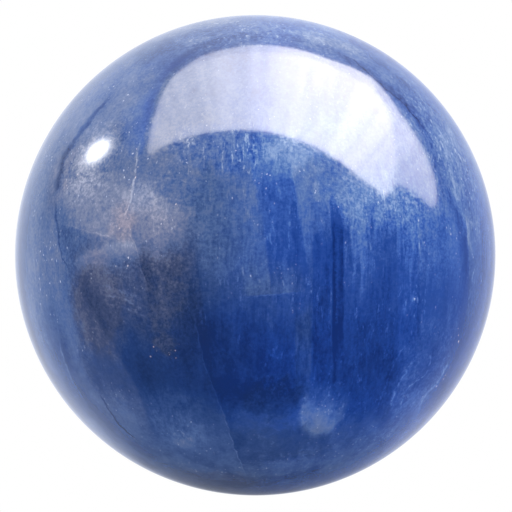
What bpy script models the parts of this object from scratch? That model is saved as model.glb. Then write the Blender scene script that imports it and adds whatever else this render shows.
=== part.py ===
# A polished kyanite sphere: one piece of stone, ground round and polished all over.
# Metres, +Z up. The origin is on the rest face, under the middle of the ball.
import math

import bmesh
import bpy

BALL_DIAMETER = 0.040

# The ball is turned in even steps, so each facet of the solid spans one step each way.
MERIDIANS = 64
PARALLELS = 30

BALL_RADIUS = BALL_DIAMETER / 2
# The lowest ring of facets is one flat face: the rest spot, which the ball stands on.
REST_ANGLE = math.pi / PARALLELS
CENTRE_HEIGHT = BALL_RADIUS * math.cos(REST_ANGLE)

STONE_BLUE = (0.045, 0.115, 0.380, 1.0)
POLISHED = 0.08


def clear_scene():
    for obj in list(bpy.data.objects):
        bpy.data.objects.remove(obj, do_unlink=True)


def collection_named(name):
    made = bpy.data.collections.new(name)
    bpy.context.scene.collection.children.link(made)
    return made


def polished_stone():
    material = bpy.data.materials.new("polished_kyanite")
    material.use_nodes = True
    shader = material.node_tree.nodes["Principled BSDF"]
    shader.inputs["Base Color"].default_value = STONE_BLUE
    shader.inputs["Roughness"].default_value = POLISHED
    shader.inputs["Metallic"].default_value = 0.0
    material.diffuse_color = STONE_BLUE
    return material


def flatten_pole(ball):
    """Takes the lowest point off the ball, which leaves its lowest ring as one flat face."""
    lowest = min(ball.verts, key=lambda vertex: vertex.co.z)
    bmesh.ops.dissolve_verts(ball, verts=[lowest])


def kyanite_sphere(into):
    """The ball, with its centre above the origin and its rest face on the ground."""
    ball = bmesh.new()
    bmesh.ops.create_uvsphere(
        ball, u_segments=MERIDIANS, v_segments=PARALLELS, radius=BALL_RADIUS
    )
    flatten_pole(ball)
    mesh = bpy.data.meshes.new("kyanite_sphere")
    ball.to_mesh(mesh)
    ball.free()
    mesh.shade_smooth()
    mesh.set_sharp_from_angle(angle=2 * REST_ANGLE)
    mesh.materials.append(polished_stone())
    obj = bpy.data.objects.new("kyanite_sphere", mesh)
    obj.location = (0, 0, CENTRE_HEIGHT)
    into.objects.link(obj)
    return obj


def main():
    clear_scene()
    kyanite_sphere(collection_named("polished_kyanite_sphere"))


main()
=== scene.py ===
import math
from collections import namedtuple

import bpy
from mathutils import Matrix, Quaternion, Vector


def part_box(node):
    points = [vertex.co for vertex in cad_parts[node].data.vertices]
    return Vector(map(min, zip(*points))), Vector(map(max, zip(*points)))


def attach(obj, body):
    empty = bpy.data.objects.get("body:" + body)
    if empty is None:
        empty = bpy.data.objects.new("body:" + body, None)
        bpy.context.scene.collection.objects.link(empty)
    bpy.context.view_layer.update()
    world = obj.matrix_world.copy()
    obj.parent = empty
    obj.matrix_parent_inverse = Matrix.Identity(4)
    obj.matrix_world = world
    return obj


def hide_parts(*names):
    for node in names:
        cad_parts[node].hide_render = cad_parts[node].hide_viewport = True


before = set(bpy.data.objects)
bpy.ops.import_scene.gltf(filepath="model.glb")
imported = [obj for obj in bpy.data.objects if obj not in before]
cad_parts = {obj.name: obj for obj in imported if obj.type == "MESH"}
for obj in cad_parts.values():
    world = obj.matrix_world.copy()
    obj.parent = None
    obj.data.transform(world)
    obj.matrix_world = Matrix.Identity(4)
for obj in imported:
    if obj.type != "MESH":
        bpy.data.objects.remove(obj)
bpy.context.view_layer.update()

BALL_NODE = "kyanite_sphere"

LOWEST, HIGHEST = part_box(BALL_NODE)
BALL_RADIUS = (HIGHEST.x - LOWEST.x) / 2
BALL_CENTRE = Vector((0.0, 0.0, HIGHEST.z - BALL_RADIUS))
MM = 0.001
RADIUS_MM = BALL_RADIUS / MM

# The view of the photograph: a long lens a little above the table, with the ball almost filling the frame.
CAMERA_DISTANCE = 0.30
CAMERA_RISE = math.radians(6)
SENSOR_WIDTH = 0.036
FRAME_PIXELS = 512
BALL_PIXELS = 240.2
BALL_MIDDLE_PIXEL = (255.3, 255.3)

FACTOR = 0
COLOUR_A = 6
COLOUR_B = 7
COLOUR_RESULT = 2


class Wire:
    """One socket of a node tree. Sums on wires add the Math nodes that work them out."""

    def __init__(self, recipe, socket):
        self.recipe = recipe
        self.socket = socket

    def maths(self, operation, *terms):
        return self.recipe.add("ShaderNodeMath", {"operation": operation}, dict(enumerate(terms)))

    def __add__(self, other):
        return self.maths("ADD", self, other)

    __radd__ = __add__

    def __sub__(self, other):
        return self.maths("SUBTRACT", self, other)

    def __rsub__(self, other):
        return self.maths("SUBTRACT", other, self)

    def __mul__(self, other):
        return self.maths("MULTIPLY", self, other)

    __rmul__ = __mul__

    def __truediv__(self, other):
        return self.maths("DIVIDE", self, other)

    def __abs__(self):
        return self.maths("ABSOLUTE", self)


class Recipe:
    """Fills one node tree. Every node that isn't a sum comes from add()."""

    def __init__(self, tree):
        self.tree = tree
        tree.nodes.clear()

    def add(self, kind, settings=None, values=None, output=0):
        """A node of this type. Its settings go in first, then its sockets' values and links."""
        node = self.tree.nodes.new(kind)
        for name, setting in (settings or {}).items():
            if name == "stops":
                set_stops(node.color_ramp.elements, setting)
            elif name == "points":
                set_points(node.mapping, setting)
            else:
                setattr(node, name, setting)
        for name, value in (values or {}).items():
            if isinstance(value, Wire):
                self.tree.links.new(value.socket, node.inputs[name])
            else:
                node.inputs[name].default_value = value
        return Wire(self, node.outputs[output]) if node.outputs else None

    def vector(self, operation, *terms, output=0):
        return self.add("ShaderNodeVectorMath", {"operation": operation}, dict(enumerate(terms)), output)

    def scaled(self, vector, scale):
        return self.add("ShaderNodeVectorMath", {"operation": "SCALE"}, {0: vector, "Scale": scale})

    def blend(self, factor, first, second, blend_type="MIX"):
        settings = {"data_type": "RGBA", "blend_type": blend_type}
        values = {FACTOR: factor, COLOUR_A: first, COLOUR_B: second}
        return self.add("ShaderNodeMix", settings, values, COLOUR_RESULT)

    def between(self, value, start, end, low=0.0, high=1.0, shape="SMOOTHSTEP"):
        """Goes from low to high, smoothly, as the value goes from start to end."""
        flip = start > end
        values = {
            "Value": value,
            "From Min": min(start, end),
            "From Max": max(start, end),
            "To Min": high if flip else low,
            "To Max": low if flip else high,
        }
        return self.add("ShaderNodeMapRange", {"interpolation_type": shape}, values)

    def curve(self, value, points):
        """A curve through points whose values and heights lie between -1 and 1."""
        return self.add("ShaderNodeFloatCurve", {"points": points}, {"Value": value})

    def parts(self, vector):
        """The three numbers of a vector."""
        first = self.add("ShaderNodeSeparateXYZ", {}, {"Vector": vector})
        outputs = first.socket.node.outputs
        return [Wire(self, outputs[axis]) for axis in "XYZ"]

    def joined(self, x, y, z):
        return self.add("ShaderNodeCombineXYZ", {}, {"X": x, "Y": y, "Z": z})


def set_stops(elements, stops):
    """Gives a colour ramp these (place, colour) stops."""
    while len(elements) > 1:
        elements.remove(elements[-1])
    for number, (place, colour) in enumerate(stops):
        element = elements[0] if number == 0 else elements.new(place)
        element.position = place
        element.color = (*colour, 1.0)


def set_points(mapping, points):
    """Gives a curve node these (value, height) points."""
    mapping.clip_min_x = -1.0
    mapping.clip_min_y = -1.0
    mapping.extend = "HORIZONTAL"
    curve = mapping.curves[0]
    for point, (value, height) in zip((curve.points[0], curve.points[-1]), (points[0], points[-1])):
        point.location = (value, height)
    for value, height in points[1:-1]:
        curve.points.new(value, height)
    mapping.update()


# The stone

# The blues of the clear blades, from the darkest to the palest.
CLEAR_BLUES = [
    (0.00, (0.0035, 0.0160, 0.100)),
    (0.18, (0.0070, 0.0310, 0.172)),
    (0.33, (0.0130, 0.0450, 0.215)),
    (0.48, (0.0280, 0.0770, 0.290)),
    (0.65, (0.0620, 0.1270, 0.320)),
    (1.00, (0.1700, 0.2500, 0.430)),
]
# The same steps where the stone is clouded: slate, grey-blue, silver.
CLOUDED_BLUES = [
    (0.00, (0.0050, 0.0150, 0.060)),
    (0.18, (0.0090, 0.0260, 0.100)),
    (0.33, (0.0200, 0.0450, 0.142)),
    (0.48, (0.0450, 0.0830, 0.200)),
    (0.72, (0.1250, 0.1520, 0.250)),
    (1.00, (0.2700, 0.2950, 0.400)),
]
RUST_TINT = (1.52, 0.99, 0.74, 1.0)
FLECK = (0.5000, 0.5400, 0.680, 1.0)
# The colour of the painted glints on the cracks.
GLINT = (0.9000, 0.7600, 0.740, 1.0)
BUMP_HEIGHT = 0.0000001

# How light the stone is, from its foot to its top: (height over the middle in radii, tone).
TONE_BY_HEIGHT = [
    (-1.0, 0.44),
    (-0.85, 0.42),
    (-0.72, 0.37),
    (-0.60, 0.24),
    (-0.48, 0.15),
    (-0.35, 0.17),
    (-0.22, 0.25),
    (-0.10, 0.31),
    (0.05, 0.39),
    (0.20, 0.46),
    (0.35, 0.54),
    (0.50, 0.55),
    (0.65, 0.48),
    (1.0, 0.44),
]

# What a mark in the stone changes: how light it is, how grey, how rusty, how grainy and how streaky.
FIELDS = ("tone", "cloud", "rust", "dust", "streaks")
UNCHANGED = (0.0,) * len(FIELDS)

# A soft cloud: degrees round the ball from the side that the camera sees, to the right, millimetres up
# from the middle, its half sizes in millimetres, and the lean of its top to the left, in degrees.
Cloud = namedtuple("Cloud", ("around", "up", "half_width", "half_height", "lean", *FIELDS), defaults=UNCHANGED)
# A blade with straight sides: its left and right side in millimetres right of the middle, its foot and
# head in millimetres up, how far it leans to the right per millimetre up, how soft its sides and its head
# are. Its foot is three times as soft as its head.
Blade = namedtuple("Blade", ("left", "right", "foot", "head", "lean", "soft", "ends", *FIELDS), defaults=UNCHANGED)
# A seam or crack: its route as (millimetres up, millimetres right), its width, how much lighter its line
# is, how far to its right the stone is changed (to its left if that is below 0), and how softly.
# The route of one that lies across the stone is (right, up), and what it changes is below it, or above.
Seam = namedtuple("Seam", ("route", "width", "line", "reach", "soft", *FIELDS), defaults=(0.0, 0.12, *UNCHANGED))

CLOUDS = {
    "silver": Cloud(-33, 3.3, 6.0, 2.9, -12, tone=0.22, dust=0.3),
    "silver, right": Cloud(-24, 3.9, 3.0, 1.2, -20, tone=0.09, dust=0.2),
    "smoke": Cloud(-32, -1.5, 6.5, 6.0, 0, tone=0.05, rust=0.20),
    # Painted light: a paler, grainier patch in the colour where the lamp's reflection has its halo.
    "painted halo round the lamp's reflection": Cloud(-50, 6.4, 2.6, 2.6, -30, tone=0.13, dust=0.4),
    "grain around the lamp": Cloud(-45, 7.8, 3.0, 3.0, 0, dust=0.7),
    "brown stone": Cloud(-40, -3.6, 2.4, 4.0, -6, tone=0.02, rust=1.1, dust=0.2, streaks=-0.2),
    "rust on the silver": Cloud(-32, 2.6, 1.3, 1.5, 0, tone=0.06, rust=0.9),
    "rust in the dark": Cloud(-24, -3.0, 3.4, 3.6, 0, tone=-0.01, rust=0.45, dust=0.3, streaks=-0.2),
    "rust spot": Cloud(-22.5, -7.0, 0.9, 0.9, 0, tone=0.08, rust=1.2, dust=0.6),
    "dark, left of the middle": Cloud(-11, -4.6, 1.8, 3.2, 0, tone=-0.06),
    "rust, far left": Cloud(-57, 6.4, 1.6, 2.6, 0, rust=0.5),
    "left edge": Cloud(-60, -5.5, 4.2, 8.0, 0, tone=0.22, cloud=-0.1),
    "lavender, lower left": Cloud(-44, -9.9, 3.8, 5.2, 14, tone=0.15, rust=0.3, dust=-0.1, streaks=0.1),
    "upper left": Cloud(-50, 12.5, 4.4, 4.0, 20, tone=0.16, cloud=-0.3),
    "crown, left": Cloud(-30, 17.0, 3.6, 2.4, 20, tone=-0.11, cloud=-0.3),
    # Painted light: a paler patch where the window's reflection glows softly past its top edge.
    "painted glow past the window's top edge": Cloud(36, 17.3, 2.6, 1.3, -15, tone=0.12, cloud=0.1),
    "crown, right": Cloud(40, 15.6, 5.4, 3.0, -20, tone=0.03, cloud=0.35),
    "royal, upper left": Cloud(-33, 10.4, 1.6, 2.6, 6, tone=-0.02, cloud=-0.35),
    "wisps, left of the middle": Cloud(-21, 5.2, 2.8, 1.8, 0, tone=0.04, cloud=-0.1, dust=0.2),
    "smoky blue": Cloud(-13, 2.0, 4.2, 3.0, 0, tone=-0.03, cloud=0.05),
    "warm grey beside it": Cloud(-21, 1.0, 2.6, 3.0, 0, tone=-0.02, rust=0.3),
    "under the window's left": Cloud(-22, 8.6, 3.6, 1.8, 0, tone=0.06, dust=0.2),
    "icicles": Cloud(-5, 8.4, 5.0, 1.8, 0, tone=0.01, cloud=-0.4, streaks=0.8, dust=0.3),
    "veiled corner under the window": Cloud(14, 8.8, 4.6, 1.6, 20, tone=0.14, cloud=-0.15, dust=0.6),
    "veil beside the royal blade": Cloud(19, 5.4, 2.2, 2.6, 0, tone=0.08, cloud=0.08, dust=0.3),
    "veil on the royal blade": Cloud(9, 7.6, 1.8, 1.6, 0, tone=0.12),
    "slate beside the royal blade": Cloud(-5, 1.4, 2.6, 2.6, 0, tone=0.04),
    "sandy stone": Cloud(31, 4.4, 4.4, 2.4, 0, tone=0.17, cloud=-0.15, dust=0.8),
    "right of the middle": Cloud(44, 1.5, 3.4, 3.4, 0, tone=0.05, dust=0.6),
    "lower right of the middle": Cloud(36, -5.0, 3.6, 3.6, 0, tone=-0.05),
    "upper right": Cloud(58, 9.0, 4.4, 6.0, 0, tone=0.02, cloud=0.15, dust=0.6, streaks=0.6),
    "foot on the right": Cloud(52, -8.8, 4.0, 4.4, 12, tone=0.16, cloud=0.1, dust=0.5),
    "centre": Cloud(9, -4.0, 3.4, 3.0, 0, cloud=0.25),
    "deep field": Cloud(-6, -7.8, 5.0, 4.2, 0, tone=-0.09, cloud=-0.25),
    "black patch": Cloud(4, -11.4, 2.6, 1.5, 0, tone=-0.10, cloud=0.35, dust=0.3),
    "deep field on the right": Cloud(32, -10.6, 3.0, 3.0, 0, tone=-0.10),
    "fibrous foot": Cloud(-25, -13.0, 2.6, 2.4, 5, tone=0.09, streaks=0.5),
    "under the moon": Cloud(12, -15.0, 3.6, 1.6, 0, tone=-0.09, cloud=0.2),
    "foot": Cloud(6, -16.4, 12.0, 4.6, 0, cloud=0.45, rust=0.05, dust=-0.2, streaks=-0.1),
    "rust in the foot": Cloud(-30, -18.4, 4.0, 1.2, 0, rust=0.5),
    "crown": Cloud(20, 19.0, 12.0, 3.2, 0, tone=0.08, cloud=0.05, dust=0.6, streaks=0.8),
    "back, pale shoulder": Cloud(205, 6.5, 7.0, 5.0, 10, tone=0.18, cloud=0.7, dust=0.6),
    "back, rust": Cloud(214, 0.5, 2.2, 3.4, 8, rust=0.8),
    "back, deep field": Cloud(160, -3.0, 5.5, 7.5, 4, tone=-0.14, cloud=-0.2),
    "back, streaks": Cloud(182, -2.0, 11.0, 11.0, 2, dust=0.2, streaks=0.6),
    "left side, deep field": Cloud(-100, -4.0, 4.5, 6.5, 6, tone=-0.10),
    "right side, deep field": Cloud(92, 1.0, 3.8, 8.0, 0, tone=-0.10, streaks=0.4),
}
FRONT_BLADES = {
    "royal blade": Blade(0.9, 3.95, -2.8, 8.0, -0.17, 0.4, 2.2, tone=-0.09, cloud=-0.30),
    "veiled blade": Blade(3.95, 5.9, 0.0, 9.0, -0.17, 0.12, 2.0, tone=0.07, cloud=0.10),
    "rusty blade": Blade(-9.0, -4.6, -7.0, 0.0, -0.14, 0.3, 3.0, tone=-0.03, rust=0.25, dust=0.3),
    "beside the step": Blade(4.5, 5.9, -9.0, 1.6, 0.0, 0.14, 1.4, tone=-0.13, cloud=-0.25),
    "dark blade": Blade(5.95, 6.85, -7.5, 3.7, -0.01, 0.22, 1.6, tone=-0.20, cloud=-0.40),
    "streaky blade": Blade(6.9, 8.8, -1.5, 4.2, -0.01, 0.22, 2.0, tone=0.12, dust=0.3, streaks=0.7),
    "dark streak": Blade(8.6, 9.3, 0.6, 3.8, 0.0, 0.25, 1.0, tone=-0.10, streaks=0.5),
    "blade under the notch": Blade(9.5, 11.2, 1.6, 6.0, 0.0, 0.35, 1.6, tone=0.10, dust=0.4, streaks=0.5),
    "azure blade": Blade(11.3, 12.8, -6.5, 5.6, 0.0, 0.3, 3.0, tone=0.05, cloud=-0.20, streaks=0.4),
    "smooth blade": Blade(13.4, 16.9, -8.0, 4.0, 0.0, 0.6, 4.0, tone=0.02, dust=-0.3, streaks=-0.4),
    "column over the moon": Blade(3.1, 4.35, -11.0, -4.5, 0.0, 0.25, 2.0, tone=0.08, cloud=0.35, streaks=0.5),
}
FRONT_SEAMS = {
    "crack by the left edge": Seam(
        [(4.3, -16.1), (5.4, -15.95), (6.6, -15.7), (8.1, -15.3), (9.5, -14.4), (11.6, -12.8), (13.4, -11.2)],
        0.42, -0.30, 1.0, tone=-0.06,
    ),
    "crack, middle": Seam(
        [(-1.4, -14.8), (0.4, -15.6), (2.0, -15.8), (3.2, -16.0), (4.8, -16.05)], 0.14, -0.14, -1.5, tone=0.06
    ),
    "crack, low": Seam(
        [(-15.5, -8.2), (-11.3, -9.4), (-8.55, -10.7), (-5.9, -12.3), (-3.5, -13.7), (-1.0, -14.9)],
        0.07, 0.03, 4.0, 0.5, tone=-0.10, rust=-0.2,
    ),
    # This crack and its low part below are the stone's own; their pale lines are painted glints along them.
    "glinting crack": Seam(
        [(2.4, -10.3), (2.9, -10.25), (3.6, -10.1), (4.9, -9.7), (6.5, -9.5), (8.3, -9.3), (10.4, -8.5)],
        0.14, 0.34, 1.6, tone=-0.02, cloud=-0.10,
    ),
    "glinting crack, low": Seam(
        [(-4.6, -8.2), (-2.5, -8.5), (-0.9, -9.05), (0.2, -9.3), (1.4, -9.7), (3.2, -10.2)],
        0.07, 0.10, 2.2, tone=-0.07,
    ),
    "fracture": Seam(
        [(-19.0, -0.3), (-15.6, -1.6), (-11.8, -2.8), (-8.2, -4.1), (-5.85, -4.55), (-3.0, -5.2)],
        0.09, 0.11, 3.6, tone=-0.09, cloud=-0.15,
    ),
    "edge of the royal blade": Seam([(-0.6, 4.1), (2.0, 3.5), (6.7, 2.87), (9.6, 2.0)], 0.06, 0.05),
    "dark line in the dark blade": Seam([(-11.5, 6.25), (-6.0, 6.2), (-1.0, 6.15), (3.8, 6.1)], 0.24, -0.16),
    "pale line on the right": Seam([(-6.8, 13.3), (-3.5, 13.15), (-0.4, 13.05), (3.6, 12.9)], 0.14, 0.12),
    # Painted reflection: a dark band hugging the window's reflection on its right, and running on down inside the pale
    # reflection at the right rim.
    "painted dark gap round the window's reflection, right": Seam(
        [
            (-4.6, 17.0), (-0.4, 16.95), (1.6, 16.6), (3.5, 16.0), (5.1, 15.3), (7.2, 14.6), (9.3, 13.8),
            (11.5, 12.6), (13.8, 10.5), (15.9, 6.8),
        ],
        0.60, -0.16,
    ),
    "bright streaks by the right rim": Seam(
        [(-0.6, 17.7), (2.4, 17.0), (4.5, 16.3), (6.2, 15.85), (8.1, 15.5), (11.0, 14.6)], 0.32, 0.26
    ),
    # Painted reflection: a paler, greyer band with a crisp inner edge, where the backdrop's reflection lies inside the
    # right rim.
    "painted backdrop reflection inside the right rim": Seam(
        [(-7.0, 16.4), (-3.6, 17.1), (0.4, 17.1), (4.6, 16.6)], 0.10, 0.04, 2.4, tone=0.07, cloud=0.30
    ),
    "rim blade, lower left": Seam(
        [(-17.2, -8.0), (-15.6, -10.2), (-13.6, -12.4), (-11.8, -13.9), (-9.2, -15.2), (-7.0, -15.8), (-5.0, -15.9)],
        0.09, 0.12, 1.6, tone=-0.09,
    ),
    "pale band, lower left": Seam(
        [(-13.4, -13.8), (-11.0, -15.6), (-9.0, -16.6), (-6.5, -17.4), (-3.5, -18.2)], 0.80, 0.06
    ),
    "dark line, lower left": Seam([(-15.2, -8.8), (-14.2, -10.5), (-12.9, -11.5), (-10.9, -12.6)], 0.13, -0.18),
    "royal band by the window": Seam(
        [(7.6, -8.6), (9.8, -8.5), (11.4, -8.1), (13.4, -7.3), (14.4, -6.8), (16.2, -4.6), (17.0, -2.6)],
        0.20, -0.02, -1.8, 0.4, tone=-0.09, cloud=-0.40,
    ),
    # Painted reflection: a thin dark line along the top right edge of the window's reflection.
    "painted dark reflection edge, upper right": Seam(
        [(8.3, 14.7), (10.2, 13.6), (12.2, 11.9), (14.0, 9.85), (15.8, 7.85), (16.8, 5.5)], 0.14, -0.24
    ),
    "vein, lower right": Seam([(-12.9, 11.0), (-11.4, 11.0), (-9.4, 12.0), (-7.6, 13.2)], 0.20, 0.26, 1.6, tone=0.05),
    "second vein, lower right": Seam([(-13.2, 11.7), (-10.8, 12.1), (-9.6, 13.6), (-7.4, 14.2)], 0.10, 0.26),
    "third vein, lower right": Seam([(-13.0, 13.2), (-11.6, 13.6), (-10.2, 14.8), (-8.0, 16.0)], 0.18, 0.26),
    "fourth vein, lower right": Seam([(-12.4, 9.6), (-10.6, 10.3), (-8.6, 11.0), (-6.6, 12.4)], 0.10, 0.18),
    "icicle": Seam([(6.0, -2.62), (7.5, -2.55), (9.3, -2.5)], 0.10, 0.34),
    "second icicle": Seam([(7.0, -1.80), (8.0, -1.82), (9.2, -1.85)], 0.09, 0.28),
    "third icicle": Seam([(6.4, -0.90), (7.8, -0.92), (9.4, -0.95)], 0.10, 0.30),
    "fourth icicle": Seam([(6.6, -4.00), (7.6, -4.05), (8.8, -4.10)], 0.09, 0.24),
    "fifth icicle": Seam([(6.0, -5.20), (7.0, -5.22), (8.4, -5.30)], 0.10, 0.20),
    "sixth icicle": Seam([(7.4, 0.60), (8.2, 0.62), (9.4, 0.60)], 0.09, 0.22),
}
FRONT_VEILS = {
    "light line over the blue band": Seam(
        [(-15.9, 2.6), (-13.7, 2.0), (-12.0, 1.6), (-10.2, 1.1)], 0.13, 0.13, 1.3, 0.3, tone=-0.07
    ),
    "pale veil": Seam(
        [(-14.8, -0.4), (-13.35, 0.5), (-11.9, 1.1), (-10.3, 1.4), (-8.7, 0.8)], 0.15, 0.03, 2.4, 0.6, tone=0.20, rust=-0.3
    ),
    "lip of the veil": Seam([(-14.2, -0.4), (-12.3, -0.6), (-10.6, -0.9), (-9.0, -0.7)], 0.14, 0.09),
    "wisp under the veil": Seam([(-12.6, -2.2), (-11.0, -2.7), (-8.5, -3.6)], 0.26, 0.12, 1.0, 0.4, tone=0.06),
    "second wisp": Seam([(-12.2, -3.1), (-10.6, -3.4), (-8.6, -4.5)], 0.20, 0.14),
    "third wisp": Seam([(-11.9, -3.9), (-9.9, -4.3), (-8.2, -5.1)], 0.20, 0.12),
    "arc": Seam([(-8.6, 5.2), (-7.5, 5.85), (-6.3, 6.0), (-5.0, 5.4)], 0.13, 0.11),
    "second arc": Seam([(-8.8, 3.8), (-7.4, 4.5), (-6.0, 4.3), (-4.4, 5.0)], 0.13, 0.08),
    "edge of the silver": Seam([(-16.1, 4.3), (-14.7, 5.6), (-13.4, 5.9), (-12.0, 5.4)], 0.14, 0.12),
    "step": Seam([(-1.4, -3.3), (1.5, -3.08), (4.2, -2.86)], 0.08, 0.16, -4.5, tone=0.09, cloud=0.35),
    # Painted reflection: a dark band hugging the top of the window's reflection, and a paler haze above it where the
    # backdrop's reflection begins.
    "painted reflection bands over the window": Seam(
        [
            (-8.6, 13.2), (-5.9, 15.9), (-3.1, 17.4), (-0.4, 17.8), (3.7, 17.4), (7.7, 15.7), (10.4, 13.7),
            (13.3, 10.9),
        ],
        0.55, -0.13, -1.8, 0.6, tone=0.05,
    ),
}
BACK_BLADES = {
    "pale blade": Blade(-6.5, -3.8, -9.0, 7.0, 0.06, 0.3, 4.0, tone=0.10, cloud=0.3, streaks=0.4),
    "dark blade": Blade(1.5, 2.9, -11.0, 9.0, -0.04, 0.25, 3.0, tone=-0.14, cloud=-0.3),
    "streaky blade": Blade(2.9, 5.0, -6.0, 8.0, -0.04, 0.3, 3.0, tone=0.08, streaks=0.8),
    "royal blade": Blade(8.5, 11.0, -8.0, 6.0, 0.05, 0.3, 3.0, tone=-0.08, cloud=-0.4),
    "smooth blade": Blade(-12.5, -9.0, -10.0, 3.0, 0.10, 0.5, 3.0, tone=0.05, dust=-0.3),
}
BACK_SEAMS = {
    "crack": Seam([(-9.0, -2.0), (-4.0, -4.4), (0.5, -5.2), (5.0, -7.0), (9.5, -7.4)], 0.14, -0.22, 1.6, tone=0.05),
    # The crack is the stone's own; its pale line is a painted glint along it.
    "glinting crack": Seam([(-3.0, 7.4), (1.0, 7.9), (4.0, 7.6), (8.0, 6.4), (12.0, 5.9)], 0.12, 0.28, 1.8, tone=-0.06),
    "fracture": Seam([(-17.0, 1.0), (-13.0, -0.4), (-8.0, -0.2), (-4.5, 0.9)], 0.08, 0.10, 2.6, tone=-0.08),
    "dark band": Seam([(-8.0, -15.0), (-2.0, -16.2), (3.0, -16.0), (8.0, -14.2)], 0.50, -0.18),
    "vein": Seam([(-13.0, 9.6), (-10.0, 11.2), (-6.0, 13.2)], 0.11, 0.20),
}
BACK_VEILS = {
    "pale veil": Seam([(6.0, 2.0), (8.5, 3.0), (11.0, 2.4), (13.0, 1.0)], 0.15, 0.06, 2.8, tone=0.18, cloud=0.3),
    "lip": Seam([(5.5, -0.6), (8.5, -0.2), (12.0, -1.4)], 0.14, 0.10),
    "step": Seam([(-3.6, 3.4), (-1.0, 3.2), (1.5, 3.1)], 0.07, 0.06, 4.0, tone=-0.06),
}
# Painted glints, sparks of light on the cracks: degrees round and millimetres up, half sizes, lean, and their strength
# as tone.
GLINTS = {
    "on the glinting crack": Cloud(-30.7, 3.7, 0.40, 1.10, -28, tone=1.0),
    "its pink foot": Cloud(-31.0, 2.5, 0.70, 0.80, 0, tone=0.6),
    "its middle": Cloud(-30.1, 6.2, 0.30, 1.20, -8, tone=0.9),
    "its head": Cloud(-30.7, 8.3, 0.30, 0.60, -10, tone=1.0),
    "right of the crack": Cloud(-20.4, 3.2, 0.90, 1.20, -45, tone=0.8),
    "over the rust": Cloud(-23.0, -7.5, 1.30, 0.80, 0, tone=0.9),
    "far left": Cloud(-49.6, 6.2, 1.00, 1.20, -50, tone=0.6),
    "under the veil": Cloud(-30.8, -0.6, 1.60, 0.40, 0, tone=0.5),
    "inside the right rim": Cloud(54.6, 6.2, 0.30, 0.90, 12, tone=0.9),
    "on the vein": Cloud(61.0, -10.0, 0.50, 1.20, -30, tone=0.6),
    "by the right rim": Cloud(60.5, -6.4, 1.00, 1.00, 0, tone=0.6),
    "behind": Cloud(157.5, 1.6, 0.40, 1.10, 6, tone=0.9),
    "behind, high": Cloud(160.0, 6.6, 0.30, 1.10, 16, tone=0.8),
    "behind, low": Cloud(214.0, -1.0, 1.30, 0.60, 10, tone=0.6),
}
MOON = Cloud(20.0, -12.0, 2.0, 2.7, 4, tone=0.24, cloud=0.30)
MOON_FADE = (-9.4, -12.6)


def stone_place(recipe):
    """Millimetres from the middle of the ball, turned so that -Y looks straight at the camera."""
    turn = Matrix.Rotation(CAMERA_RISE, 3, "X")
    shift = turn @ (BALL_CENTRE / MM) * -1
    place = recipe.add("ShaderNodeTexCoord", output="Object")
    values = {
        "Vector": place,
        "Location": shift,
        "Rotation": (CAMERA_RISE, 0.0, 0.0),
        "Scale": (1 / MM,) * 3,
    }
    return recipe.add("ShaderNodeMapping", {"vector_type": "POINT"}, values)


def noise(recipe, place, scale, detail=2.0, roughness=0.5, output="Fac"):
    values = {"Vector": place, "Scale": scale, "Detail": detail, "Roughness": roughness}
    return recipe.add("ShaderNodeTexNoise", {}, values, output)


def swing(recipe, place, scale, detail=2.0, roughness=0.5):
    """Noise with more contrast, from -0.5 to 0.5."""
    return recipe.between(noise(recipe, place, scale, detail, roughness), 0.3, 0.7, -0.5, 0.5)


def stretched(recipe, place, x=1.0, y=1.0, z=1.0):
    return recipe.vector("MULTIPLY", place, (x, y, z))


def shifted(recipe, place, by, reach, share=1.0):
    """The same place, moved by a noise colour times a reach for each axis, times a share."""
    centred = recipe.vector("SUBTRACT", by, (0.5, 0.5, 0.5))
    return recipe.vector("ADD", place, recipe.scaled(recipe.vector("MULTIPLY", centred, reach), share))


# The places at which the pattern is read: as they are, wavering, along the leaning fibres, with ragged
# ends, and cloudy.
Places = namedtuple("Places", "plain wavering upright ragged cloudy")


def places_in(recipe):
    plain = stone_place(recipe)
    ripple = noise(recipe, plain, 1.1, 3.0, 0.6, output="Color")
    wavering = shifted(recipe, plain, ripple, (0.5, 0.5, 0.5))
    x, y, z = recipe.parts(plain)
    leaning = recipe.between(x, -1.0, -9.0, 0.0, 0.14)
    leant = recipe.joined(x + z * leaning, y, z)
    bend = noise(recipe, plain, 0.3, 2.0, output="Color")
    upright = shifted(recipe, leant, bend, (0.8, 0.8, 0.0))
    splinters = noise(recipe, stretched(recipe, upright, z=0.12), 1.3, 3.0, 0.7, "Color")
    fibrous = recipe.between(x, -9.0, 1.0, 0.2, 1.0)
    ragged = shifted(recipe, plain, splinters, (0.5, 0.5, 3.0), fibrous)
    puffs = noise(recipe, plain, 0.4, 5.0, 0.68, "Color")
    cloudy = shifted(recipe, ragged, puffs, (3.0, 3.0, 3.0))
    return Places(plain, wavering, upright, ragged, cloudy)


def weigh(recipe, fields, weight, mark):
    """Adds a mark, weighed, to the fields that it changes."""
    for name in FIELDS:
        amount = getattr(mark, name)
        if amount:
            fields[name] = fields[name] + weight * amount


def in_cloud(recipe, place, spot, depth=5.0, soft=0.4):
    """1 inside a soft cloud in the ball's skin, 0 outside it."""
    turn = math.radians(spot.around)
    reach = math.sqrt(RADIUS_MM**2 - spot.up**2)
    edge = 1 + soft
    values = {
        "Vector": place,
        "Location": (reach * math.sin(turn), -reach * math.cos(turn), spot.up),
        "Rotation": (0.0, -math.radians(spot.lean), turn),
        "Scale": (spot.half_width * edge, depth * edge, spot.half_height * edge),
    }
    local = recipe.add("ShaderNodeMapping", {"vector_type": "TEXTURE"}, values)
    near = recipe.add("ShaderNodeTexGradient", {"gradient_type": "SPHERICAL"}, {"Vector": local}, "Fac")
    return recipe.between(near, 0.0, 2 * soft / edge)


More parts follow.
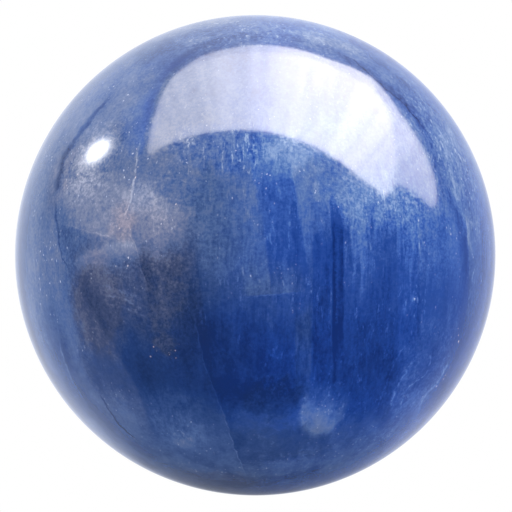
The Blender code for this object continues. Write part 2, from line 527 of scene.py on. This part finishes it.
def in_blade(recipe, x, z, blade):
    """1 between the sides and ends of a blade, 0 outside them."""
    across = x - z * blade.lean
    side, end, foot = blade.soft / 2, blade.ends / 2, blade.ends * 1.5
    inside = recipe.between(across, blade.left - side, blade.left + side)
    inside = inside * recipe.between(across, blade.right + side, blade.right - side)
    inside = inside * recipe.between(z, blade.foot - foot, blade.foot + foot)
    return inside * recipe.between(z, blade.head + end, blade.head - end)


def draw_seam(recipe, fields, along, across, seam, glimmer, shown, toward):
    """A seam's line, and the stone beside it. Toward is 1 or -1: the side that a reach over 0 lies on."""
    start, end = seam.route[0][0], seam.route[-1][0]
    fade = 0.2 * (end - start)
    route = [(at / RADIUS_MM, off / RADIUS_MM) for at, off in seam.route]
    apart = across - recipe.curve(along / RADIUS_MM, route) * RADIUS_MM
    shown = shown * recipe.between(along, start, start + fade) * recipe.between(along, end, end - fade)
    line = recipe.between(abs(apart), seam.width, 0.0, 0.0, seam.line) * shown
    fields["tone"] = fields["tone"] + (line * glimmer if seam.line > 0 else line)
    if seam.reach:
        beside = apart * (toward if seam.reach > 0 else -toward)
        near = recipe.between(beside, 0.0, seam.soft) * recipe.between(beside, abs(seam.reach), 0.1)
        weigh(recipe, fields, near * shown, seam)


# The two faces of the ball: 1 for the one that the camera sees, -1 for the one behind.
FACES = {
    1.0: (FRONT_BLADES, FRONT_SEAMS, FRONT_VEILS),
    -1.0: (BACK_BLADES, BACK_SEAMS, BACK_VEILS),
}


def faced(recipe, place, turn):
    """The three numbers of a place, turned half round for the back."""
    return recipe.parts(recipe.vector("MULTIPLY", place, (turn, turn, 1.0)))


def draw_seams(recipe, fields, places, glimmer):
    for turn, (_, seams, veils) in FACES.items():
        x, y, z = faced(recipe, places.wavering, turn)
        shown = recipe.between(y, -1.0, -5.0)
        for seam in seams.values():
            draw_seam(recipe, fields, z, x, seam, glimmer, shown, 1.0)
        for veil in veils.values():
            draw_seam(recipe, fields, x, z, veil, glimmer, shown, -1.0)


def draw_blades(recipe, fields, places):
    for turn, (blades, _, _) in FACES.items():
        x, y, z = faced(recipe, places.ragged, turn)
        shown = recipe.between(y, -1.0, -5.0)
        for blade in blades.values():
            weigh(recipe, fields, in_blade(recipe, x, z, blade) * shown, blade)


def draw_clouds(recipe, fields, places):
    for cloud in CLOUDS.values():
        weigh(recipe, fields, in_cloud(recipe, places.cloudy, cloud), cloud)
    moon = in_cloud(recipe, places.wavering, MOON, soft=0.18)
    weigh(recipe, fields, moon * recipe.between(recipe.parts(places.ragged)[2], *MOON_FADE), MOON)


def blade_tones(recipe, places):
    """A tone of its own for each of the long blades that the stone is grown from, weaker at the front."""
    cells = recipe.add(
        "ShaderNodeTexVoronoi",
        {"feature": "SMOOTH_F1"},
        {
            "Vector": stretched(recipe, places.ragged, 0.42, 0.55, 0.05),
            "Scale": 1.0,
            "Smoothness": 0.25,
            "Randomness": 0.9,
        },
        "Color",
    )
    y = recipe.parts(places.plain)[1]
    return (recipe.parts(cells)[0] - 0.5) * recipe.between(y, -12.0, 0.0, 0.06, 0.22)


def stone_fields(recipe, places, glimmer):
    """Each field, from the stone's own course of tones and all the marks in it. The marks whose places
    take the least working out come first: Cycles works the sums out in the order they are made in, and
    has room for only so many that wait for one another."""
    x, _, z = recipe.parts(places.plain)
    fields = {
        "tone": recipe.curve(z / RADIUS_MM, TONE_BY_HEIGHT),
        "cloud": recipe.between(z, -13.0, -18.0, 0.0, 0.2),
        "rust": 0.0,
        "dust": recipe.between(z, -12.0, 6.0, 0.0, 0.45),
        "streaks": recipe.between(z, -14.0, -4.0, 0.0, 0.25) + recipe.between(x, -10.0, 6.0, -0.25, 0.2),
    }
    draw_seams(recipe, fields, places, glimmer)
    draw_blades(recipe, fields, places)
    draw_clouds(recipe, fields, places)
    cloudy_x = recipe.parts(places.cloudy)[0]
    fields["cloud"] = fields["cloud"] + recipe.between(cloudy_x, 3.5, -5.0, 0.12, 1.0)
    fields["tone"] = fields["tone"] + blade_tones(recipe, places)
    return fields


def grain_tone(recipe, places, fields, mottle, dust):
    """What the fibres, dashes, mottle and dust add to the tone, more of each where the fields say so."""
    plain, upright = places.plain, places.upright
    streaks, dusty = fields["streaks"], fields["dust"]
    silk = swing(recipe, stretched(recipe, upright, 1.0, 0.7, 0.07), 3.6, 3.0, 0.7)
    strands = swing(recipe, stretched(recipe, upright, 1.0, 0.5, 0.08), 1.1, 3.0, 0.65)
    bands = swing(recipe, stretched(recipe, upright, 1.0, 0.5, 0.25), 0.35, 2.0)
    lines = recipe.between(noise(recipe, stretched(recipe, upright, 1.0, 0.7, 0.06), 3.0, 2.0, 0.7), 0.54, 0.66)
    breaks = recipe.between(noise(recipe, plain, 2.4, 3.0, 0.7), 0.42, 0.60)
    groups = recipe.between(noise(recipe, stretched(recipe, plain, z=0.5), 0.4, 1.0), 0.40, 0.60)
    tone = bands * 0.06 + strands * (0.06 + streaks * 0.13) + silk * (0.03 + streaks * 0.16)
    tone = tone + mottle * (0.06 + dusty * 0.09) + dust * (0.06 + dusty * 0.11)
    return tone + lines * breaks * groups * (0.08 + streaks * 0.45)


def grains_in(recipe, places):
    """Small round grains, 1 at their middle, and a number of its own for each of them."""
    grains = recipe.add(
        "ShaderNodeTexVoronoi",
        {"feature": "F1"},
        {"Vector": stretched(recipe, places.wavering, z=0.6), "Scale": 3.4, "Randomness": 1.0},
        "Distance",
    )
    kinds = Wire(recipe, grains.socket.node.outputs["Color"])
    return recipe.between(grains, 0.26, 0.06), recipe.parts(kinds)[0]


def flecks(recipe, places, tone, grains, kinds):
    """Pale grains, in swarms, more of them where the stone is light."""
    swarm = recipe.between(noise(recipe, places.plain, 0.6, 2.0), 0.42, 0.60, 0.1, 1.0)
    return grains * recipe.between(kinds, 0.50, 1.0, 0.0, 0.8) * swarm * recipe.between(tone, 0.20, 0.65)


def glints(recipe, places, grains, kinds):
    """Painted glints: bright grains where light catches in the cracks."""
    places_lit = sum(in_cloud(recipe, places.wavering, spot) * spot.tone for spot in GLINTS.values())
    return places_lit * grains * recipe.between(kinds, 0.40, 1.00, 0.0, 0.9)


def kyanite():
    """Blue blades with silky fibres along them, clouded and cracked on the left, polished like glass. Painted into its
    colour as well: a halo round the lamp's reflection, glints on the cracks, and dark and pale bands round the window's
    and the backdrop's reflections.
    """
    material = bpy.data.materials.new("polished_kyanite")
    material.use_nodes = True
    recipe = Recipe(material.node_tree)
    places = places_in(recipe)
    mottle = swing(recipe, places.plain, 1.3, 4.0, 0.72)
    dust = swing(recipe, places.plain, 4.4, 2.0, 0.6)
    glimmer = recipe.between(noise(recipe, places.plain, 1.6, 3.0, 0.7), 0.38, 0.60, 0.15, 1.0)
    fields = stone_fields(recipe, places, glimmer)
    tone = fields["tone"] + grain_tone(recipe, places, fields, mottle, dust)
    clouded = fields["cloud"] + mottle * 0.15
    rusty = fields["rust"] * (1.0 + mottle * 0.5) * recipe.between(tone, 0.62, 0.35, 0.3, 1.0)

    clear_blue = recipe.add("ShaderNodeValToRGB", {"stops": CLEAR_BLUES}, {"Fac": tone})
    grey_blue = recipe.add("ShaderNodeValToRGB", {"stops": CLOUDED_BLUES}, {"Fac": tone})
    colour = recipe.blend(clouded, clear_blue, grey_blue)
    colour = recipe.blend(rusty, colour, recipe.blend(1.0, colour, RUST_TINT, "MULTIPLY"))
    grains, kinds = grains_in(recipe, places)
    colour = recipe.blend(flecks(recipe, places, tone, grains, kinds), colour, FLECK)
    colour = recipe.blend(glints(recipe, places, grains, kinds), colour, GLINT)

    rough = fields["dust"] * recipe.between(dust, -0.2, 0.5, 0.0, 0.10) + 0.08
    bump = recipe.add(
        "ShaderNodeBump",
        {},
        {"Strength": 1.0, "Distance": BUMP_HEIGHT, "Height": dust + mottle},
        "Normal",
    )
    shader = recipe.add(
        "ShaderNodeBsdfPrincipled",
        {},
        {
            "Base Color": colour,
            "Roughness": rough,
            "IOR": 1.72,
            "Normal": bump,
        },
    )
    recipe.add("ShaderNodeOutputMaterial", {}, {"Surface": shader})
    return material


def ball_tree(material):
    """The Geometry Nodes tree of the ball: a cube's even grid, pushed out to a sphere with a flat rest spot."""
    tree = bpy.data.node_groups.new("polished_ball", "GeometryNodeTree")
    tree.is_modifier = True
    for name, kind in (
        ("Steps", "NodeSocketInt"),
        ("Radius", "NodeSocketFloat"),
        ("Centre Height", "NodeSocketFloat"),
        ("Wobble", "NodeSocketFloat"),
        ("Seed", "NodeSocketFloat"),
        ("Stone", "NodeSocketMaterial"),
    ):
        tree.interface.new_socket(name, in_out="INPUT", socket_type=kind)
    tree.interface.new_socket("Geometry", in_out="OUTPUT", socket_type="NodeSocketGeometry")
    recipe = Recipe(tree)
    asked = {s.name: recipe.add("NodeGroupInput", output=s.name) for s in tree.interface.items_tree if s.in_out == "INPUT"}
    corners = asked["Steps"] + 1
    cube = recipe.add(
        "GeometryNodeMeshCube",
        {},
        {"Size": (2.0, 2.0, 2.0), "Vertices X": corners, "Vertices Y": corners, "Vertices Z": corners},
    )
    grid = recipe.add("GeometryNodeInputPosition")
    even = [wire_tangent(axis) for axis in recipe.parts(grid)]
    outward = recipe.vector("NORMALIZE", recipe.joined(*even))
    drift = recipe.add(
        "ShaderNodeTexNoise",
        {"noise_dimensions": "4D"},
        {"Vector": outward, "W": asked["Seed"], "Scale": 1.5, "Detail": 1.0},
        "Fac",
    )
    reach = asked["Radius"] + (drift - 0.5) * asked["Wobble"]
    x, y, z = recipe.parts(recipe.scaled(outward, reach))
    height = recipe.add(
        "ShaderNodeMath", {"operation": "MAXIMUM"}, {0: z + asked["Centre Height"], 1: 0.0}
    )
    moved = recipe.add(
        "GeometryNodeSetPosition", {}, {"Geometry": cube, "Position": recipe.joined(x, y, height)}
    )
    smooth = recipe.add("GeometryNodeSetShadeSmooth", {}, {"Geometry": moved, "Shade Smooth": True})
    coloured = recipe.add("GeometryNodeSetMaterial", {}, {"Geometry": smooth, "Material": asked["Stone"]})
    whole = recipe.add("GeometryNodeRealizeInstances", {}, {"Geometry": coloured})
    recipe.add("NodeGroupOutput", {}, {"Geometry": whole})
    return tree


def wire_tangent(axis):
    """Spreads a cube's grid evenly over the sphere: the tangent of a quarter turn times the place."""
    return axis.maths("TANGENT", axis * (math.pi / 4))


GRID_STEPS = 128
WOBBLE = 0.00002
WOBBLE_SEED = 4.0


def finished_mesh(name, tree, values):
    """Runs a Geometry Nodes tree with these inputs and keeps its result as a plain mesh object."""
    maker = bpy.data.objects.new(name + "_maker", bpy.data.meshes.new(name + "_maker"))
    bpy.context.scene.collection.objects.link(maker)
    modifier = maker.modifiers.new("maker", "NODES")
    modifier.node_group = tree
    for item in tree.interface.items_tree:
        if item.in_out == "INPUT":
            modifier[item.identifier] = values[item.name]
    graph = bpy.context.evaluated_depsgraph_get()
    mesh = bpy.data.meshes.new_from_object(maker.evaluated_get(graph))
    mesh.name = name
    bpy.data.objects.remove(maker, do_unlink=True)
    made = bpy.data.objects.new(name, mesh)
    bpy.context.scene.collection.objects.link(made)
    return made


def polished_ball():
    material = kyanite()
    ball = finished_mesh(
        "kyanite_ball",
        ball_tree(material),
        {
            "Steps": GRID_STEPS,
            "Radius": BALL_RADIUS,
            "Centre Height": BALL_CENTRE.z,
            "Wobble": WOBBLE,
            "Seed": WOBBLE_SEED,
            "Stone": material,
        },
    )
    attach(ball, "root")
    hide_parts(BALL_NODE)
    return ball


# The light tent

PANEL_HEIGHT = 0.50
# Corners of the bright window over the ball, in metres right of it and behind it.
WINDOW = [
    (-0.492, -0.167),
    (-0.343, 0.027),
    (-0.234, 0.195),
    (-0.141, 0.276),
    (0.016, 0.316),
    (0.195, 0.321),
    (0.342, 0.404),
    (0.513, 0.334),
    (0.640, 0.338),
    (0.870, 0.370),
    (1.230, 0.414),
    (1.707, 0.406),
    (1.880, 0.350),
    (1.800, 0.210),
    (1.224, 0.001),
    (0.920, -0.141),
    (0.982, -0.346),
    (0.600, -0.333),
    (0.334, -0.275),
    (0.024, -0.220),
    (-0.275, -0.186),
]
# The window's light from left to right, as (metres right, brightness).
WINDOW_LIGHT = [
    (-0.50, 3.2),
    (-0.28, 4.9),
    (-0.15, 5.8),
    (0.02, 8.8),
    (0.15, 11.6),
    (0.36, 11.6),
    (0.50, 10.0),
    (0.70, 8.4),
    (1.00, 6.8),
    (1.40, 6.2),
    (2.10, 5.4),
]
# Its tint on the left and on the right, and the metres right between which it changes.
COOL_TINT = (0.97, 0.93, 0.92, 1.0)
WARM_TINT = (1.0, 0.93, 0.84, 1.0)
TINT_CHANGE = (-0.15, 0.25)
# It dims past a slanted line, and towards its far edge: each a direction, where it dims, and how much is left.
SLANT = ((0.70, 0.72, 0.0), (0.47, 0.50), 0.72)
FAR_EDGE = ((-0.25, 1.00, 0.0), (0.05, 0.30), 0.72)
FAR_STRIP = ((-0.10, 1.00, 0.0), (0.235, 0.245), 0.80)
# Its light is uneven, in strips: how fine they are, and how much light the dimmest have.
STRIPS = (26.0, 1.2, 1.0)
STRIP_LIGHT = 0.82

LAMP_TOWARD = Vector((-0.822, 0.222, 0.524))
LAMP_DISTANCE = 0.6
LAMP_HALF_SIZE = (0.165, 0.100)
LAMP_ROLL = math.radians(35)
LAMP_LIGHT = 24.0
LAMP_FADE = (1.0, 0.05)


def flat_panel(name, corners, height, material):
    mesh = bpy.data.meshes.new(name)
    points = [(x, y, height) for x, y in corners]
    mesh.from_pydata(points, [], [list(range(len(points)))])
    mesh.materials.append(material)
    panel = bpy.data.objects.new(name, mesh)
    bpy.context.scene.collection.objects.link(panel)
    only_reflected(panel)
    return panel


def only_reflected(panel):
    panel.visible_camera = False
    panel.visible_diffuse = False
    panel.visible_shadow = False


def grey_stops(stops, start, end, brightest):
    return [((at - start) / (end - start), (level / brightest,) * 3) for at, level in stops]


def dimmed(recipe, place, direction, fade, left):
    """1 before the fade, and what is left of the light after it."""
    along = recipe.vector("DOT_PRODUCT", place, direction, output="Value")
    return recipe.between(along, *fade, 1.0, left, shape="LINEAR")


def window_glow():
    """The window's light: dim on the left, brightest right of the middle, dim again past a slanted line."""
    material = bpy.data.materials.new("window_glow")
    material.use_nodes = True
    recipe = Recipe(material.node_tree)
    place = recipe.add("ShaderNodeTexCoord", output="Object")
    start, end = WINDOW_LIGHT[0][0], WINDOW_LIGHT[-1][0]
    brightest = max(level for _, level in WINDOW_LIGHT)
    across = recipe.parts(place)[0]
    share = recipe.between(across, start, end, shape="LINEAR")
    stops = grey_stops(WINDOW_LIGHT, start, end, brightest)
    level = recipe.add("ShaderNodeValToRGB", {"stops": stops}, {"Fac": share})
    for edge in (SLANT, FAR_EDGE, FAR_STRIP):
        level = recipe.blend(1.0, level, dimmed(recipe, place, *edge), "MULTIPLY")
    strips = noise(recipe, stretched(recipe, place, *STRIPS), 1.0, 3.0, 0.6)
    strips = recipe.between(strips, 0.35, 0.6, STRIP_LIGHT, 1.0)
    level = recipe.blend(1.0, level, strips, "MULTIPLY")
    tint = recipe.blend(recipe.between(across, *TINT_CHANGE), COOL_TINT, WARM_TINT)
    tinted = recipe.blend(1.0, level, tint, "MULTIPLY")
    light = recipe.add("ShaderNodeEmission", {}, {"Color": tinted, "Strength": brightest})
    recipe.add("ShaderNodeOutputMaterial", {}, {"Surface": light})
    return material


def lamp_glow():
    """The lamp's light, fading to its edge."""
    material = bpy.data.materials.new("lamp_glow")
    material.use_nodes = True
    recipe = Recipe(material.node_tree)
    place = recipe.add("ShaderNodeTexCoord", output="Object")
    far = recipe.vector("LENGTH", place, output="Value")
    core = recipe.between(far, *LAMP_FADE)
    stops = [(0.0, (0.0, 0.0, 0.0)), (0.25, (0.03, 0.03, 0.03)), (0.6, (0.12, 0.12, 0.12)), (1.0, (1.0, 1.0, 1.0))]
    level = recipe.add("ShaderNodeValToRGB", {"stops": stops}, {"Fac": core})
    light = recipe.add("ShaderNodeEmission", {}, {"Color": level, "Strength": LAMP_LIGHT})
    recipe.add("ShaderNodeOutputMaterial", {}, {"Surface": light})
    return material


def small_lamp():
    """The small lamp at the upper left."""
    bpy.ops.mesh.primitive_circle_add(vertices=32, radius=1.0, fill_type="NGON")
    lamp = bpy.context.object
    lamp.name = "small_lamp"
    lamp.location = BALL_CENTRE + LAMP_TOWARD * LAMP_DISTANCE
    lamp.rotation_mode = "QUATERNION"
    lamp.rotation_quaternion = LAMP_TOWARD.to_track_quat("Z", "Y") @ Quaternion((0.0, 0.0, 1.0), LAMP_ROLL)
    lamp.scale = (*LAMP_HALF_SIZE, 1.0)
    lamp.data.materials.append(lamp_glow())
    only_reflected(lamp)
    return lamp


def key_light():
    """The softbox's own light on the stone and the floor, without its reflection."""
    data = bpy.data.lights.new("key", "AREA")
    data.shape = "RECTANGLE"
    data.size = 1.2
    data.size_y = 0.5
    data.energy = 5.0
    key = bpy.data.objects.new("key", data)
    key.location = (0.2, 0.05, PANEL_HEIGHT)
    key.visible_glossy = False
    key.visible_camera = False
    bpy.context.scene.collection.objects.link(key)
    return key


# The backdrop on the right, against 1 on the left.
RIGHT_SIDE_LIGHT = 0.78


def tent_world():
    """White where the camera looks past the ball; for reflections, a white backdrop that fades towards the front."""
    world = bpy.data.worlds.new("light_tent")
    world.use_nodes = True
    bpy.context.scene.world = world
    world.cycles.sampling_method = "NONE"
    recipe = Recipe(world.node_tree)
    ray = recipe.add("ShaderNodeLightPath")
    outputs = ray.socket.node.outputs
    seen = Wire(recipe, outputs["Is Camera Ray"])
    soft = Wire(recipe, outputs["Is Diffuse Ray"])
    direction = recipe.add("ShaderNodeTexCoord", output="Generated")
    ahead = (0.0, math.cos(CAMERA_RISE), -math.sin(CAMERA_RISE))
    upward = (0.0, math.sin(CAMERA_RISE), math.cos(CAMERA_RISE))
    facing = recipe.vector("DOT_PRODUCT", direction, ahead, output="Value")
    rise = recipe.vector("DOT_PRODUCT", direction, upward, output="Value")
    side = recipe.parts(direction)[0]
    backdrop = recipe.add(
        "ShaderNodeValToRGB",
        {
            "stops": [
                (0.00, (0.010, 0.012, 0.015)),
                (0.50, (0.020, 0.023, 0.029)),
                (0.61, (0.060, 0.069, 0.086)),
                (0.74, (0.220, 0.250, 0.320)),
                (0.83, (0.580, 0.660, 0.820)),
                (0.92, (0.840, 0.910, 1.080)),
                (1.00, (0.900, 0.950, 1.090)),
            ]
        },
        {"Fac": facing * 0.5 + 0.5},
    )
    below = rise * -1.0 - abs(side) * 1.1
    shade = recipe.add(
        "ShaderNodeValToRGB",
        {
            "stops": [
                (0.00, (1.00,) * 3),
                (0.48, (1.00,) * 3),
                (0.54, (0.75,) * 3),
                (0.58, (0.48,) * 3),
                (0.63, (0.31,) * 3),
                (0.75, (0.15,) * 3),
            ]
        },
        {"Fac": below * 0.5 + 0.5},
    )
    ceiling = recipe.add(
        "ShaderNodeValToRGB",
        {
            "stops": [
                (0.20, (0.00,) * 3),
                (0.50, (0.05,) * 3),
                (0.60, (0.15,) * 3),
                (0.70, (0.32,) * 3),
                (0.80, (0.50,) * 3),
                (1.00, (0.75,) * 3),
            ]
        },
        {"Fac": rise},
    )
    behind = recipe.between(facing, -0.4, 0.0)
    mirrored = recipe.blend(1.0, backdrop, shade, "MULTIPLY")
    mirrored = recipe.blend(1.0, mirrored, recipe.between(side, -0.1, 0.5, 1.0, RIGHT_SIDE_LIGHT), "MULTIPLY")
    mirrored = recipe.blend(behind, mirrored, ceiling, "ADD")
    lit = recipe.blend(soft, mirrored, (1.05, 1.05, 1.05, 1.0))
    shown = recipe.blend(seen, lit, (1.0, 1.0, 1.0, 1.0))
    light = recipe.add("ShaderNodeBackground", {}, {"Color": shown, "Strength": 1.0})
    recipe.add("ShaderNodeOutputWorld", {}, {"Surface": light})


def pale_floor():
    """A pale floor that lights the stone from below, and that the camera sees as plain white."""
    bpy.ops.mesh.primitive_plane_add(size=8.0)
    floor = bpy.context.object
    floor.name = "floor"
    floor.visible_glossy = False
    material = bpy.data.materials.new("pale_floor")
    material.use_nodes = True
    recipe = Recipe(material.node_tree)
    paint = {
        "Base Color": (0.96, 0.96, 0.96, 1.0),
        "Roughness": 0.9,
        "Specular IOR Level": 0.0,
        "Emission Color": (1.0, 1.0, 1.0, 1.0),
        "Emission Strength": 0.45,
    }
    painted = recipe.add("ShaderNodeBsdfPrincipled", {}, paint)
    white = recipe.add("ShaderNodeEmission", {}, {"Color": (1.0, 1.0, 1.0, 1.0), "Strength": 1.0})
    ray = recipe.add("ShaderNodeLightPath")
    seen = Wire(recipe, ray.socket.node.outputs["Is Camera Ray"])
    shader = recipe.add("ShaderNodeMixShader", {}, {0: seen, 1: painted, 2: white})
    recipe.add("ShaderNodeOutputMaterial", {}, {"Surface": shader})
    floor.data.materials.append(material)
    return floor


def photo_camera():
    """A long lens, set so that the ball is as large in the frame as it is in the photograph."""
    data = bpy.data.cameras.new("camera")
    edge = math.tan(math.asin(BALL_RADIUS / CAMERA_DISTANCE))
    per_pixel = edge / BALL_PIXELS
    data.sensor_width = SENSOR_WIDTH / MM
    data.lens = data.sensor_width / 2 / (per_pixel * FRAME_PIXELS / 2)
    data.clip_start = 0.01
    back = Vector((0.0, -math.cos(CAMERA_RISE), math.sin(CAMERA_RISE)))
    right = Vector((1.0, 0.0, 0.0))
    up = Vector((0.0, math.sin(CAMERA_RISE), math.cos(CAMERA_RISE)))
    right_step = (FRAME_PIXELS / 2 - BALL_MIDDLE_PIXEL[0]) * per_pixel * CAMERA_DISTANCE
    down_step = (FRAME_PIXELS / 2 - BALL_MIDDLE_PIXEL[1]) * per_pixel * CAMERA_DISTANCE
    camera = bpy.data.objects.new("camera", data)
    camera.location = BALL_CENTRE + back * CAMERA_DISTANCE + right * right_step - up * down_step
    camera.rotation_mode = "QUATERNION"
    camera.rotation_quaternion = (-back).to_track_quat("-Z", "Y")
    bpy.context.scene.collection.objects.link(camera)
    bpy.context.scene.camera = camera


bpy.context.scene.view_settings.view_transform = "Standard"
photo_camera()
polished_ball()
tent_world()
pale_floor()
key_light()
flat_panel("window", WINDOW, PANEL_HEIGHT, window_glow())
small_lamp()
